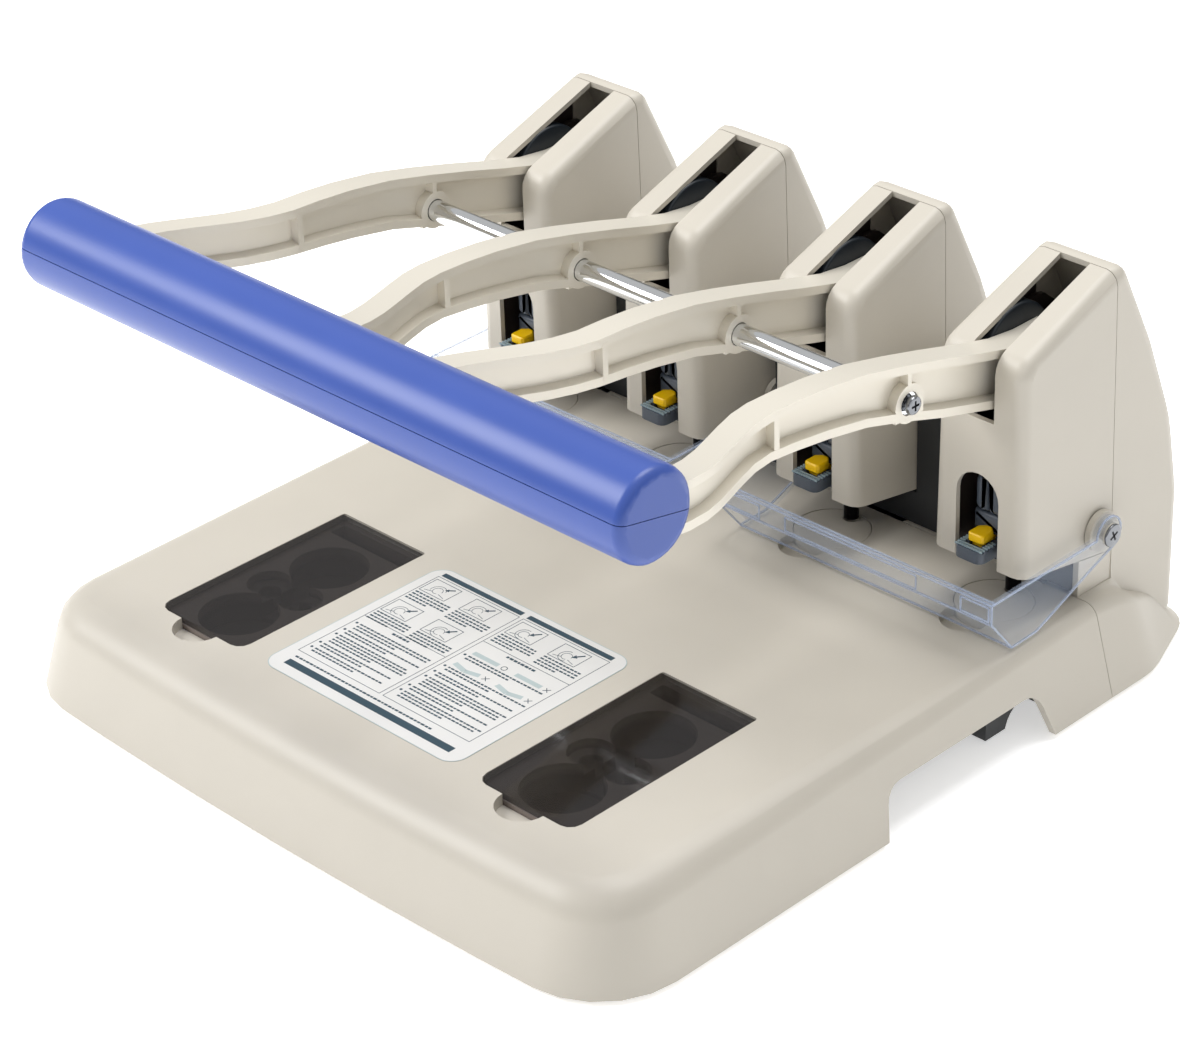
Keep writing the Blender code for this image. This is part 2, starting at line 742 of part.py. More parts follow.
def arm_section(y, side):
    top, bottom = arm_curve(y, TOP_EDGE), arm_curve(y, BOTTOM_EDGE)
    x = side * splay(y)
    half = [
        (ARM_HALF, top), (ARM_HALF, top - 3.4), (1.6, top - 4.4),
        (1.6, bottom + 4.4), (ARM_HALF, bottom + 3.4), (ARM_HALF, bottom),
    ]
    other = [(-a, b) for a, b in reversed(half)]
    return [(x + a, y, b) for a, b in half + other]


def make_arm(number, x, side):
    """One cast lever arm: an I-beam that swings outwards, with ribs, a rod boss and a hub."""
    ends = [ARM_END, -195, -185, -176, -167, -158, -148, -138, -125, -110]
    stations = ends + [-90, -70, -50, -30, -12, 2, 16]
    arm = loft(f"lever_arm_{number}", [arm_section(y, side) for y in stations])
    hub = rod("hub", "X", *PIVOT, HUB_RADIUS, -ARM_HALF, ARM_HALF, 24)
    boss = rod("boss", "X", *ROD, 7.5, -ARM_HALF, ARM_HALF, 20)
    skirt = box("skirt", (-ARM_HALF, ARM_HALF), (ROD[0] - 7.3, ROD[0] + 7.3), (101.5, ROD[1]))
    stalk = box("stalk", (-ARM_HALF, ARM_HALF), (ROD[0] - 1, ROD[0] + 1), (ROD[1], 121))
    rib = box("rib", (-ARM_HALF, ARM_HALF), (-136.5, -134), (115, 129.5))
    tongue_x = side * SPLAY
    tongue = box("tongue", (tongue_x - 4, tongue_x + 4), (-224, ARM_END + 4), (127, 135))
    eye = rod("eye", "X", *BAR, CORE_RADIUS + 3.5, tongue_x - 4, tongue_x + 4, 16)
    fuse(arm, hub, boss, skirt, stalk, rib, tongue, eye)
    cut(
        arm,
        rod("pivot_bore", "X", *PIVOT, PIVOT_RADIUS + GAP, -9, 9, 16),
        rod("rod_bore", "X", *ROD, ROD_RADIUS + GAP, -9, 9, 16),
        rod("core_bore", "X", *BAR, CORE_RADIUS + GAP, -40, 40, 16),
    )
    shift(arm, x=x)
    paint(arm, "painted_die_cast", CAST_CREAM, 0.38)
    place(arm, (x, *PIVOT))


def make_tie_rod():
    """One chromed rod through all four arms, with a cross-head screw in each end."""
    reach = HEADS[-1] + ARM_HALF - 0.6
    tie = rod("tie_rod", "X", *ROD, ROD_RADIUS, -reach, reach, 24)
    holes = [rod("thread", "X", *ROD, 2.3, *sorted((side * (reach - 12), side * (reach + 5))), 16)
             for side in (-1, 1)]
    cut(tie, *holes)
    paint(tie, "chromed_steel", STEEL, 0.08, 1.0)
    place(tie, (0, *PIVOT))
    for word, side in (("left", -1), ("right", 1)):
        start, end = side * (reach - 10), side * (reach + 0.9)
        screw = rod(f"tie_screw_{word}", "X", *ROD, 2.0, *sorted((start, end + side * 0.5)), 16)
        head = rod("head", "X", *ROD, 3.6, *sorted((end, end + side * 2.4)), 20)
        bevel(head, 0.9, 2)
        fuse(screw, head)
        face = sorted((end + side * 1.2, end + side * 4))
        for width, height in ((0.45, 2.0), (2.0, 0.45)):
            cut(screw, box("cross", face, (ROD[0] - width, ROD[0] + width),
                           (ROD[1] - height, ROD[1] + height)))
        paint(screw, "bright_steel", STEEL, 0.25, 1.0)
        place(screw, (0, *PIVOT))


def bar_tube():
    """The grip as a closed tube with softly domed ends."""
    outer = rod("handle", "X", *BAR, BAR_RADIUS, -BAR_HALF, BAR_HALF, 40)
    bevel(outer, 3.5, 3, 60)
    inner = rod("inner", "X", *BAR, BAR_RADIUS - BAR_WALL, 4 - BAR_HALF, BAR_HALF - 4, 32)
    return cut(outer, inner)


def arm_gate(x, side):
    centre = x + side * SPLAY
    reach = ARM_HALF + 1.2
    gate = box("gate", (centre - reach, centre + reach), (ARM_END - 12, ARM_END + 20), (117, 139.5))
    return gate


def make_handle(arms):
    for word, sign in (("upper", 1), ("lower", -1)):
        shell = bar_tube()
        shell.name = f"handle_{word}"
        y, z = BAR
        half = sorted((z + sign * GAP / 2, z - sign * 40))
        drop = tilt_x(box("other_half", (-170, 170), (y - 40, y + 40), half), BAR_TILT, BAR)
        cut(shell, drop, *[arm_gate(x, side) for x, side in arms])
        if sign < 0:
            way = rod("screw_way", "Z", 0, y - 7, 2.6, z - 20, z, 16)
            cut(shell, way)
        paint(shell, "blue_abs", BLUE, 0.35)
        place(shell, (0, *PIVOT))
    core = rod("handle_core", "X", *BAR, CORE_RADIUS, -143, 143, 20)
    paint(core, "bright_steel", STEEL, 0.25, 1.0)
    place(core, (0, *PIVOT))


# ---------------------------------------------------------------- paper guards

def guard_side(name, x0, x1):
    """A guard's flat side arm, round at its pivot and thin towards the front."""
    y, z = HINGE
    ring = [
        (y + 7 * math.cos(t), z + 7 * math.sin(t))
        for t in [math.radians(a) for a in range(-60, 181, 24)]
    ]
    outline = ring + [(-46, 24), (-46, 16), (-34, 1.0), (-20, 1.4), (-12, 4.5), (10, 13.4)]
    return prism(name, outline, "X", x0, x1)


def make_guard(word, left, right):
    """A clear visor in front of two heads, hung from a pivot beside each of them."""
    t = GUARD_THICKNESS
    front = [(-46, 24), (-46, 16), (-34, 1.0), (-31, 1.0), (-44, 16.8), (-44, 24)]
    guard = prism(f"guard_{word}", front, "X", left + 0.5, right - 0.5)
    sides = [guard_side("side", left, left + t + 0.6), guard_side("side", right - t - 0.6, right)]
    pads = []
    middle = (left + right) / 2
    for x0, x1 in ((left + 1, left + 22), (middle - 32, middle + 32), (right - 14, right - 1)):
        pads.append(box("pad", (x0, x1), (-46.8, -45), (17.5, 23.2)))
    fuse(guard, *sides, *pads)
    cut(guard, rod("eye", "X", *HINGE, 3.3, left - 5, right + 5, 20))
    paint(guard, "clear_polycarbonate", CLEAR, 0.05, alpha=0.35)
    place(guard, (middle, *HINGE))
    make_guard_screw(f"guard_{word}_screw_1", left, -1)
    make_guard_screw(f"guard_{word}_screw_2", right, 1)


def make_guard_screw(name, x, side):
    """A shouldered pivot screw with a cream spacer collar, from the head's side wall outwards."""
    wall = x - side * (GUARD_THICKNESS + 0.6 + GAP)
    inner = x - side * 5.3
    screw = rod(name, "X", *HINGE, 8, *sorted((inner, wall)), 28)
    shank = rod("shank", "X", *HINGE, 3.0, *sorted((wall - side * 1, x + side * 1)), 20)
    head = rod("head", "X", *HINGE, 4.4, *sorted((x + side * GAP, x + side * 1.8)), 20)
    fuse(screw, shank, head)
    face = sorted((x + side * 1.0, x + side * 4))
    y, z = HINGE
    for width, height in ((0.5, 2.2), (2.2, 0.5)):
        cut(screw, box("cross", face, (y - width, y + width), (z - height, z + height)))
    paint(screw, "cream_abs", CREAM, 0.42)
    place(screw)


def make_guards():
    """One guard spans the left pair of heads, the other the right pair."""
    reach = HEAD_HALF + 5.6
    for word, pair in (("left", HEADS[:2]), ("right", HEADS[2:])):
        make_guard(word, pair[0] - reach, pair[1] + reach)


def main():
    clear_scene()
    make_base_shell()
    make_bottom_plate()
    make_feet()
    make_trays()
    make_rear_cover()
    make_back_gauge()
    make_head_covers()
    make_head_frames()
    make_bed_plate()
    make_chip_tray()
    make_pivot_pins()
    make_return_springs()
    make_punch_pins()
    make_carriers()
    make_lock_tabs()
    make_cutting_discs()
    arms = [(x, -1 if n % 2 == 0 else 1) for n, x in enumerate(HEADS)]
    for number, (x, side) in enumerate(arms, 1):
        make_arm(number, x, side)
    make_tie_rod()
    make_handle(arms)
    make_guards()


main()
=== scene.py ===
"""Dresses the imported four-head lever punch in its visible surfaces, finishes, light and camera.

It is laid out as a Blender add-on: property groups hold the sizes and colours, one operator makes
each group of pieces, and main() calls them in order. Lengths in the code are millimetres in the
bench frame: X along the row of punches, Y 0 on the punch line, Z 0 on the paper table.
"""

import json
import math

import bpy
import numpy as np
from mathutils import Matrix, Vector


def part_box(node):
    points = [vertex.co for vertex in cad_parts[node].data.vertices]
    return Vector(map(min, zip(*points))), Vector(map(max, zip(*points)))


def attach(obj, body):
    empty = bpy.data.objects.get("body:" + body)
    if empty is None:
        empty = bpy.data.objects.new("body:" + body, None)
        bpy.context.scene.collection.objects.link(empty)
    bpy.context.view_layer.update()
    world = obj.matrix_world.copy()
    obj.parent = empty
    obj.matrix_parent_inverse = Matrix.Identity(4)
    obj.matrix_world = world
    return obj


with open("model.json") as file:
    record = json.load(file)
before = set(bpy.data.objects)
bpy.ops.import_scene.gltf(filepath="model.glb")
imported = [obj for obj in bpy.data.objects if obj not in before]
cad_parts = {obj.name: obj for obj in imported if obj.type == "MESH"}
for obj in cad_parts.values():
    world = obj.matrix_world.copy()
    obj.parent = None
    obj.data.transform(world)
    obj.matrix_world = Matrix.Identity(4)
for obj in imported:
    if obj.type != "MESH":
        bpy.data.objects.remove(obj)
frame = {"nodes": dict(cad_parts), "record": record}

bl_info = {
    "name": "Lever Punch Looks",
    "version": (1, 0, 0),
    "blender": (4, 5, 0),
    "location": "View3D > Sidebar > Punch",
    "description": "Dresses the packed lever punch in its visible surfaces and finishes",
    "category": "Object",
}

MM = 0.001
HEAD_NUMBERS = (1, 2, 3, 4)


def middle_of(node):
    """The middle of a CAD piece's box, in metres."""
    low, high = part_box(node)
    return (low + high) / 2


# The bench frame's origin, and each punch's place along the row
ORIGIN = Vector((0, middle_of("punch_pin_1").y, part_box("base_shell")[1].z))
HEADS = [middle_of(f"punch_pin_{n}").x / MM for n in HEAD_NUMBERS]


def middle_of_screws(word):
    """The guard's hinge line, as (y, z) in bench millimetres."""
    centre = (middle_of(f"guard_{word}_screw_1") - ORIGIN) / MM
    return centre.y, centre.z


def bench(node):
    """A CAD piece's lowest and highest corners in bench millimetres."""
    return [(corner - ORIGIN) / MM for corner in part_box(node)]


# ---------------------------------------------------------------- sizes and colours

def linear(code):
    """An sRGB hex code as linear red, green and blue."""
    values = [int(code[k:k + 2], 16) / 255 for k in (1, 3, 5)]
    return tuple(v / 12.92 if v <= 0.04045 else ((v + 0.055) / 1.055) ** 2.4 for v in values)


def length(name, description, millimetres):
    """A size property, given in millimetres and kept in metres."""
    return bpy.props.FloatProperty(
        name=name, description=description, default=millimetres * MM, min=0, unit="LENGTH")


def colour(name, description, code):
    """A colour property from an sRGB hex code."""
    return bpy.props.FloatVectorProperty(
        name=name, description=description, default=linear(code), size=3, min=0, max=1,
        subtype="COLOR")


class PunchSizes(bpy.types.PropertyGroup):
    """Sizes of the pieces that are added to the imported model."""
    label_width: length("Label width", "Width of the instruction label across the base", 102.4)
    label_depth: length("Label depth", "Length of the instruction label from front to back", 91)
    label_corner: length("Label corner", "Radius of the label's corners", 7)
    ink: length("Print height", "How far the print stands off the label's film", 0.05)
    cam_radius: length("Cam radius", "Radius of the cam plate beside each lever hub", 18.5)
    cam_thickness: length("Cam thickness", "Thickness of the cam plate beside each lever hub", 6.4)
    sleeve_half: length("Sleeve half width", "Half the width of a punch's release sleeve", 7.4)
    sleeve_top: length("Sleeve top", "Height of a release sleeve's crown above the table", 56.5)
    # The rim is a painted highlight along the clear guards' edges
    rim: length("Guard rim", "Width of the bright edges of the paper guards", 0.7)
    # The liner is a dark sheet of painted shade inside each head
    liner: length("Liner thickness", "Thickness of the dark lining inside each head", 0.6)


class PunchColours(bpy.types.PropertyGroup):
    """Colours of the finishes, as the eye meets them in daylight."""
    cream: colour("Cream", "The moulded housing", "#C4BEB2")
    cast: colour("Cast cream", "The painted lever arms", "#BDB7AB")
    blue: colour("Blue", "The grip", "#3A55A4")
    charcoal: colour("Charcoal", "The back gauge, bottom plate and drawer", "#2B2D2F")
    umber: colour("Umber", "The disc trays", "#807670")
    # Liner: the dark steel frames' own colour, and the painted shade of the dark sheets inside the
    # heads
    liner: colour("Liner", "The lining and steel frames inside the heads", "#2A2320")
    slate: colour("Slate", "The punches' release cassettes", "#4C545F")
    rib: colour("Rib", "The paler rib tops on the cassettes' tabs", "#8FA3AB")
    cam: colour("Cam", "The cam plates beside the hubs", "#1C242C")
    yellow: colour("Yellow", "The punch locks", "#FFCB05")
    zinc: colour("Zinc", "The folded bed", "#B9BCC0")
    steel: colour("Steel", "Screws, pins and springs", "#84868A")
    chrome: colour("Chrome", "The tie rod", "#DCDEE0")
    oxide: colour("Oxide", "The punch pins", "#17171A")
    rubber: colour("Rubber", "The feet", "#141415")
    smoke: colour("Smoke", "The tray lids", "#1E1918")
    clear: colour("Clear", "The paper guards", "#BCCAE0")
    # Clear edge: the colour of the painted highlight drawn along the guards' edges
    edge: colour("Clear edge", "The bright cut edges of the paper guards", "#B9C6DE")
    film: colour("Label film", "The instruction label's film", "#D9D8D5")
    teal: colour("Print", "The instruction label's dark print", "#24404E")
    tint: colour("Tint", "The instruction label's pale print", "#AEBBBB")
    floor: colour("Floor", "The studio's paper floor", "#FBFBFB")


# ---------------------------------------------------------------- finishes

# Each row: the finish's real name, its colour, roughness from and to, grain size and depth in
# millimetres, and how much its colour wanders. Grains are drawn 2 to 3 times coarser than real
# ones, which would be too fine to see from arm's length.
FINISHES = {
    # Spark-eroded ABS: satin, with an even pebble grain that softens every highlight
    "cream_abs": ("moulded_abs_cream", "cream", (0.38, 0.47), 0.55, 0.012, 0.012),
    # Stoved paint on a zinc casting: smoother, with the long waviness of flowed paint
    "painted_die_cast": ("painted_die_cast", "cast", (0.33, 0.43), 1.6, 0.02, 0.015),
    # Moulded ABS with a polished tool: a clearer, longer highlight along the grip
    "blue_abs": ("moulded_abs_blue", "blue", (0.30, 0.37), 0.4, 0.008, 0.02),
    # Textured ABS: dull charcoal that hides its depth
    "dark_moulding": ("moulded_abs_charcoal", "charcoal", (0.42, 0.55), 0.6, 0.02, 0.04),
    # Vacuum-formed styrene: dull warm grey, its wells darkened by painted shade
    "dark_insert": ("formed_styrene_umber", "umber", (0.48, 0.62), 0.5, 0.02, 0.04),
    # Black-brown painted steel: half dull, with the sheet's faint orange peel; the dark sheets
    # inside the heads wear it as painted shade
    "dark_steel": ("painted_steel_umber", "liner", (0.4, 0.52), 0.8, 0.012, 0.06),
    # Zinc plate: bright, with cloudy patches a few millimetres across
    "zinc_steel": ("zinc_plated_steel", "zinc", (0.28, 0.42), 3.0, 0.01, 0.05),
    # Turned and barrelled steel: bright with a fine satin break-up
    "bright_steel": ("turned_steel", "steel", (0.2, 0.3), 0.3, 0.004, 0.03),
    # Chromium plate on a ground rod: a near mirror with barely wavering reflections
    "chromed_steel": ("chromed_ground_steel", "chrome", (0.05, 0.1), 6.0, 0.002, 0.01),
    # Oil-blacked tool steel: dark with a soft sheen
    "black_oxide_steel": ("oil_blacked_steel", "oxide", (0.28, 0.4), 0.3, 0.004, 0.05),
    # Filled nylon: blue-grey with a waxy sheen
    "slate_nylon": ("moulded_nylon_slate", "slate", (0.28, 0.38), 0.4, 0.01, 0.04),
    # The same nylon, drawn paler on the grip ribs across the tab
    "slate_rib": ("worn_nylon_slate", "rib", (0.4, 0.5), 0.4, 0.01, 0.06),
    # Unfilled nylon: strong yellow with a soft gloss
    "yellow_nylon": ("moulded_nylon_yellow", "yellow", (0.34, 0.42), 0.4, 0.01, 0.02),
    # Rubber: black, without gloss, and faintly bloomed
    "black_rubber": ("moulded_rubber_black", "rubber", (0.75, 0.9), 0.6, 0.04, 0.1),
    # Cast acrylic: brown smoke that darkens towards its edges under a polished face
    "smoked_acrylic": ("smoked_cast_acrylic", "smoke", (0.03, 0.07), 8.0, 0.001, 0.02),
    # Polycarbonate: near clear face on, bluish white where it is seen along its wall
    "clear_polycarbonate": ("moulded_polycarbonate_clear", "clear", (0.03, 0.08), 6.0, 0.002, 0.01),
    # Painted highlight on the guards' cut edges: bluish and bright, standing in for the light that
    # runs along the wall
    "polycarbonate_edge_highlight": ("polycarbonate_wall_edge", "edge", (0.1, 0.2), 2.0, 0.004, 0.03),
    # Blacked steel plate: blue-black, satin from grinding
    "cam_steel": ("blacked_cam_steel", "cam", (0.3, 0.42), 0.5, 0.006, 0.05),
    # Label stock: silver-grey polyester film with a faint metallic fleck
    "label_film": ("label_polyester_film", "film", (0.32, 0.4), 0.3, 0.002, 0.01),
    # Screen ink: dark teal, a little raised and glossier than its film
    "label_ink": ("screen_ink_teal", "teal", (0.3, 0.4), 0.3, 0.002, 0.04),
    # Screen tint: the same ink let down to a pale wash
    "label_tint": ("screen_ink_pale", "tint", (0.34, 0.42), 0.3, 0.002, 0.03),
    # Studio paper: matt and all but white
    "studio_paper": ("studio_paper", "floor", (0.85, 0.95), 2.0, 0.01, 0.003),
}
METALS = ("zinc_steel", "bright_steel", "chromed_steel", "black_oxide_steel")
# Clear plastics: opacity seen face on, and opacity seen along the wall
CLEARS = {
    "smoked_acrylic": (0.45, 0.95),
    "clear_polycarbonate": (0.08, 0.4),
    # The guards' edge strips are a painted highlight, opaque enough to show
    "polycarbonate_edge_highlight": (0.4, 0.7),
}
WALL_FALLOFF = 3.0  # the higher, the nearer to the outline a clear wall stays clear
BROAD_SCALE = 28.0  # patches of colour and roughness per metre
# Painted shade: a tray's colour is drawn darker between these two depths, down to the wells' share
# below, for the shade in its wells
TRAY_RIM, TRAY_WELL = 4.5 * MM, 8 * MM  # depths below the table between which a tray darkens
WELL_SHADE = 0.16  # the wells' brightness against the rim's
PAPER_GLOW = 0.5  # light given off by the studio paper, so that it stays white in the shadows


def add(tree, kind, settings=None, **inputs):
    """Adds a node with its settings; an input is a value, or another node's output to link."""
    made = tree.nodes.new(kind)
    for key, value in (settings or {}).items():
        setattr(made, key, value)
    for key, value in inputs.items():
        socket = made.inputs[key.replace("_", " ")]
        if isinstance(value, bpy.types.NodeSocket):
            tree.links.new(value, socket)
        else:
            socket.default_value = value
    return made


def finish(key):
    """The named finish's material, made the first time it is asked for.

    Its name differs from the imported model's plain materials, which would be found in its place.
    """
    name, tone, rough, grain, depth, wander = FINISHES[key]
    material = bpy.data.materials.get(name)
    if material:
        return material
    material = bpy.data.materials.new(name)
    material.use_nodes = True
    tree = material.node_tree
    shader = tree.nodes["Principled BSDF"]
    shade = getattr(bpy.context.scene.punch_colours, tone)
    shader.inputs["Metallic"].default_value = 1.0 if key in METALS else 0.0
    place = add(tree, "ShaderNodeTexCoord").outputs["Object"]
    fine = add(tree, "ShaderNodeTexNoise", Vector=place, Scale=1 / (grain * MM), Detail=3.0)
    broad = add(tree, "ShaderNodeTexNoise", Vector=place, Scale=BROAD_SCALE, Detail=2.0)
    bump = add(
        tree, "ShaderNodeBump", Strength=1.0, Distance=depth * MM, Height=fine.outputs["Fac"])
    tree.links.new(bump.outputs["Normal"], shader.inputs["Normal"])
    low, high = rough
    spread = add(
        tree, "ShaderNodeMapRange", Value=broad.outputs["Fac"], To_Min=low, To_Max=high)
    tree.links.new(spread.outputs["Result"], shader.inputs["Roughness"])
    ramp = add(tree, "ShaderNodeValToRGB", Fac=broad.outputs["Fac"])
    ends = ((0.35, 1 - wander), (0.65, 1 + wander))
    for stop, (position, factor) in zip(ramp.color_ramp.elements, ends):
        stop.position = position
        stop.color = (*[min(value * factor, 1) for value in shade], 1)
    tree.links.new(ramp.outputs["Color"], shader.inputs["Base Color"])
    if key == "dark_insert":
        # Painted shade: the wells are drawn darker than the rim that the lid rests on
        height = add(tree, "ShaderNodeSeparateXYZ", Vector=place).outputs["Z"]
        shade_by_height = add(
            tree, "ShaderNodeMapRange", Value=height, From_Min=ORIGIN.z - TRAY_WELL,
            From_Max=ORIGIN.z - TRAY_RIM, To_Min=WELL_SHADE, To_Max=1.0)
        dim = add(tree, "ShaderNodeVectorMath", {"operation": "SCALE"})
        tree.links.new(ramp.outputs["Color"], dim.inputs[0])
        tree.links.new(shade_by_height.outputs["Result"], dim.inputs["Scale"])
        tree.links.new(dim.outputs[0], shader.inputs["Base Color"])
    if key in CLEARS:
        facing = add(tree, "ShaderNodeLayerWeight", Blend=0.5).outputs["Facing"]
        along = add(tree, "ShaderNodeMath", {"operation": "POWER"})
        tree.links.new(facing, along.inputs[0])
        along.inputs[1].default_value = WALL_FALLOFF
        face_on, edge_on = CLEARS[key]
        veil = add(
            tree, "ShaderNodeMapRange", Value=along.outputs[0], To_Min=face_on, To_Max=edge_on)
        tree.links.new(veil.outputs["Result"], shader.inputs["Alpha"])
    if key == "studio_paper":
        shader.inputs["Emission Color"].default_value = (1, 1, 1, 1)
        shader.inputs["Emission Strength"].default_value = PAPER_GLOW
    return material


# ---------------------------------------------------------------- surfaces

def rounded(corners, steps=6):
    """A closed outline: each corner (a, b, radius) becomes an arc tangent to both its sides.

    An arc's points are its centre plus the radius turned evenly between its tangent points.
    """
    points = np.array([corner[:2] for corner in corners], float)
    radii = np.array([corner[2] for corner in corners], float)
    before = np.roll(points, 1, 0) - points
    after = np.roll(points, -1, 0) - points
    before /= np.linalg.norm(before, axis=1)[:, None]
    after /= np.linalg.norm(after, axis=1)[:, None]
    half = np.arccos(np.clip((before * after).sum(1), -1, 1)) / 2
    bisector = before + after
    bisector /= np.linalg.norm(bisector, axis=1)[:, None]
    centres = points + bisector * (radii / np.sin(half))[:, None]
    first = points + before * (radii / np.tan(half))[:, None] - centres
    last = points + after * (radii / np.tan(half))[:, None] - centres
    start = np.arctan2(first[:, 1], first[:, 0])
    turn = (np.arctan2(last[:, 1], last[:, 0]) - start + math.pi) % (2 * math.pi) - math.pi
    angles = start[:, None] + turn[:, None] * np.linspace(0, 1, steps + 1)
    arcs = centres[:, None] + radii[:, None, None] * np.stack([np.cos(angles), np.sin(angles)], -1)
    return arcs.reshape(-1, 2)


def inset(outline, distance):
    """The outline moved inwards: each point goes along its two sides' summed normals."""
    along = np.roll(outline, -1, 0) - np.roll(outline, 1, 0)
    along /= np.linalg.norm(along, axis=1)[:, None]
    across, up = outline[:, 0], outline[:, 1]
    area = (across * np.roll(up, -1) - up * np.roll(across, -1)).sum()
    return outline + np.sign(area) * distance * np.stack([-along[:, 1], along[:, 0]], -1)


# Where a ring's two outline values and its level go among x, y and z, for each slab axis
AXES = {"X": (2, 0, 1), "Y": (0, 2, 1), "Z": (0, 1, 2)}
SMOOTH_ANGLE = math.radians(40)  # edges sharper than this stay crisp


def slab_rings(outline, axis, low, high, edge=0.0, steps=3):
    """Rings of a slab with eased edges: at angle t the outline is drawn in by edge times
    (1 - sin t) while its height leaves the face by edge times (1 - cos t)."""
    turns = np.linspace(0, math.pi / 2, steps) if edge else np.array([math.pi / 2])
    insets = edge * (1 - np.sin(turns))
    rises = edge * (1 - np.cos(turns)) if edge else np.zeros(1)
    levels = list(zip(insets, low + rises)) + list(zip(insets[::-1], high - rises[::-1]))
    rings = []
    for distance, level in levels:
        flat = inset(outline, distance) if distance else outline
        ring = np.column_stack([flat, np.full(len(flat), level)])
        rings.append(ring[:, AXES[axis]])
    return np.array(rings)


def closed_tube(rings):
    """Vertices and faces of a closed surface carried through rings, with a flat cap at each end."""
    count, around = rings.shape[:2]
    index = np.arange(count * around).reshape(count, around)
    beside = np.roll(index, -1, 1)
    sides = np.stack([index[:-1], beside[:-1], beside[1:], index[1:]], -1).reshape(-1, 4).tolist()
    return rings.reshape(-1, 3), sides + [index[0][::-1].tolist(), index[-1].tolist()]


def outward(vertices, faces):
    """The faces, turned over if the volume they enclose comes out negative."""
    volume = 0.0
    for face in faces:
        corners = vertices[face]
        fan = np.cross(corners[1:-1], corners[2:])
        volume += (fan @ corners[0]).sum()
    return faces if volume > 0 else [face[::-1] for face in faces]


def piece(name, parts, finishes, body):
    """Makes one piece from closed parts (rings, finish number) in bench millimetres."""
    vertices, faces, kinds = [], [], []
    start = 0
    for rings, kind in parts:
        spots, sides = closed_tube(np.asarray(rings, float))
        sides = outward(spots, sides)
        faces += [[corner + start for corner in side] for side in sides]
        kinds += [kind] * len(sides)
        vertices.append(spots)
        start += len(spots)
    spots = np.concatenate(vertices) * MM + np.array(ORIGIN)
    mesh = bpy.data.meshes.new(name)
    mesh.from_pydata(spots, [], faces)
    mesh.polygons.foreach_set("material_index", kinds)
    for key in finishes:
        mesh.materials.append(finish(key))
    mesh.shade_smooth()
    mesh.set_sharp_from_angle(angle=SMOOTH_ANGLE)
    obj = bpy.data.objects.new(name, mesh)
    bpy.context.scene.collection.objects.link(obj)
    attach(obj, body)
    return obj


def plate(outline, low, high):
    """A level slab with square edges."""
    return slab_rings(np.asarray(outline, float), "Z", low, high)


# ---------------------------------------------------------------- CAD pieces

WELD_GAP = 2e-6  # metres, well under any real feature
# Edge easing in millimetres on CAD pieces whose real edges are broken
EDGES = {
    "guard_left": 0.35, "guard_right": 0.35, "tray_insert_left": 0.4, "tray_insert_right": 0.4,
    "tray_lid_left": 0.25, "tray_lid_right": 0.25, "back_gauge": 0.4, "chip_tray": 0.4,
    "punch_carrier": 0.3, "lock_tab": 0.25, "lever_arm": 0.7, "head_frame": 0.4,
    "cutting_disc": 0.3,
}


def smooth_group():
    """A node group that shades a piece smooth, apart from its sharp edges."""
    group = bpy.data.node_groups.new("smooth_by_angle", "GeometryNodeTree")
    group.interface.new_socket("Geometry", in_out="INPUT", socket_type="NodeSocketGeometry")
    group.interface.new_socket("Geometry", in_out="OUTPUT", socket_type="NodeSocketGeometry")
    start = group.nodes.new("NodeGroupInput")
    end = group.nodes.new("NodeGroupOutput")
    faces = add(group, "GeometryNodeSetShadeSmooth", {"domain": "FACE"}, Geometry=start.outputs[0])
    angle = add(group, "GeometryNodeInputMeshEdgeAngle")
    sharp = add(
        group, "FunctionNodeCompare", {"operation": "GREATER_THAN"}, A=angle.outputs[0],
        B=SMOOTH_ANGLE)
    edges = add(
        group, "GeometryNodeSetShadeSmooth", {"domain": "EDGE"}, Geometry=faces.outputs[0],
        Selection=sharp.outputs[0])
    edges.inputs["Shade Smooth"].default_value = False
    group.links.new(edges.outputs[0], end.inputs[0])
    return group


class PUNCH_OT_finishes(bpy.types.Operator):
    """Welds each CAD piece, eases its edges, shades it smooth and gives it its finish"""
    bl_idname = "punch.finishes"
    bl_label = "Finish the CAD pieces"

    def execute(self, context):
        group = smooth_group()
        slots = {row["node"]: row["material_slot"] for row in frame["record"]["subparts"]}
        for name, obj in frame["nodes"].items():
            obj.data.materials.clear()
            obj.data.materials.append(finish(slots[name]))
            weld = obj.modifiers.new("weld", "WELD")
            weld.merge_threshold = WELD_GAP
            width = EDGES.get(name.rstrip("1234_"))
            if width:
                ease = obj.modifiers.new("ease", "BEVEL")
                ease.width = width * MM
                ease.segments = 2
                ease.limit_method = "ANGLE"
                ease.angle_limit = SMOOTH_ANGLE
            shade = obj.modifiers.new("shade", "NODES")
            shade.node_group = group
            even = obj.modifiers.new("even", "WEIGHTED_NORMAL")
            even.keep_sharp = True
        return {"FINISHED"}


# ---------------------------------------------------------------- label

def bar(u0, u1, v0, v1):
    """A rectangle."""
    return np.array([(u0, v0), (u1, v0), (u1, v1), (u0, v1)], float)


def line(start, end, width):
    """A straight stroke: the segment widened by half its width to each side."""
    start, end = np.array(start, float), np.array(end, float)
    along = (end - start) / np.linalg.norm(end - start)
    across = np.array([-along[1], along[0]]) * width / 2
    return np.array([start - across, end - across, end + across, start + across])


def border(u0, u1, v0, v1, width=0.25):
    """Four strokes round a panel."""
    corners = [(u0, v0), (u1, v0), (u1, v1), (u0, v1)]
    return [line(corners[k - 1], corners[k], width) for k in range(4)]


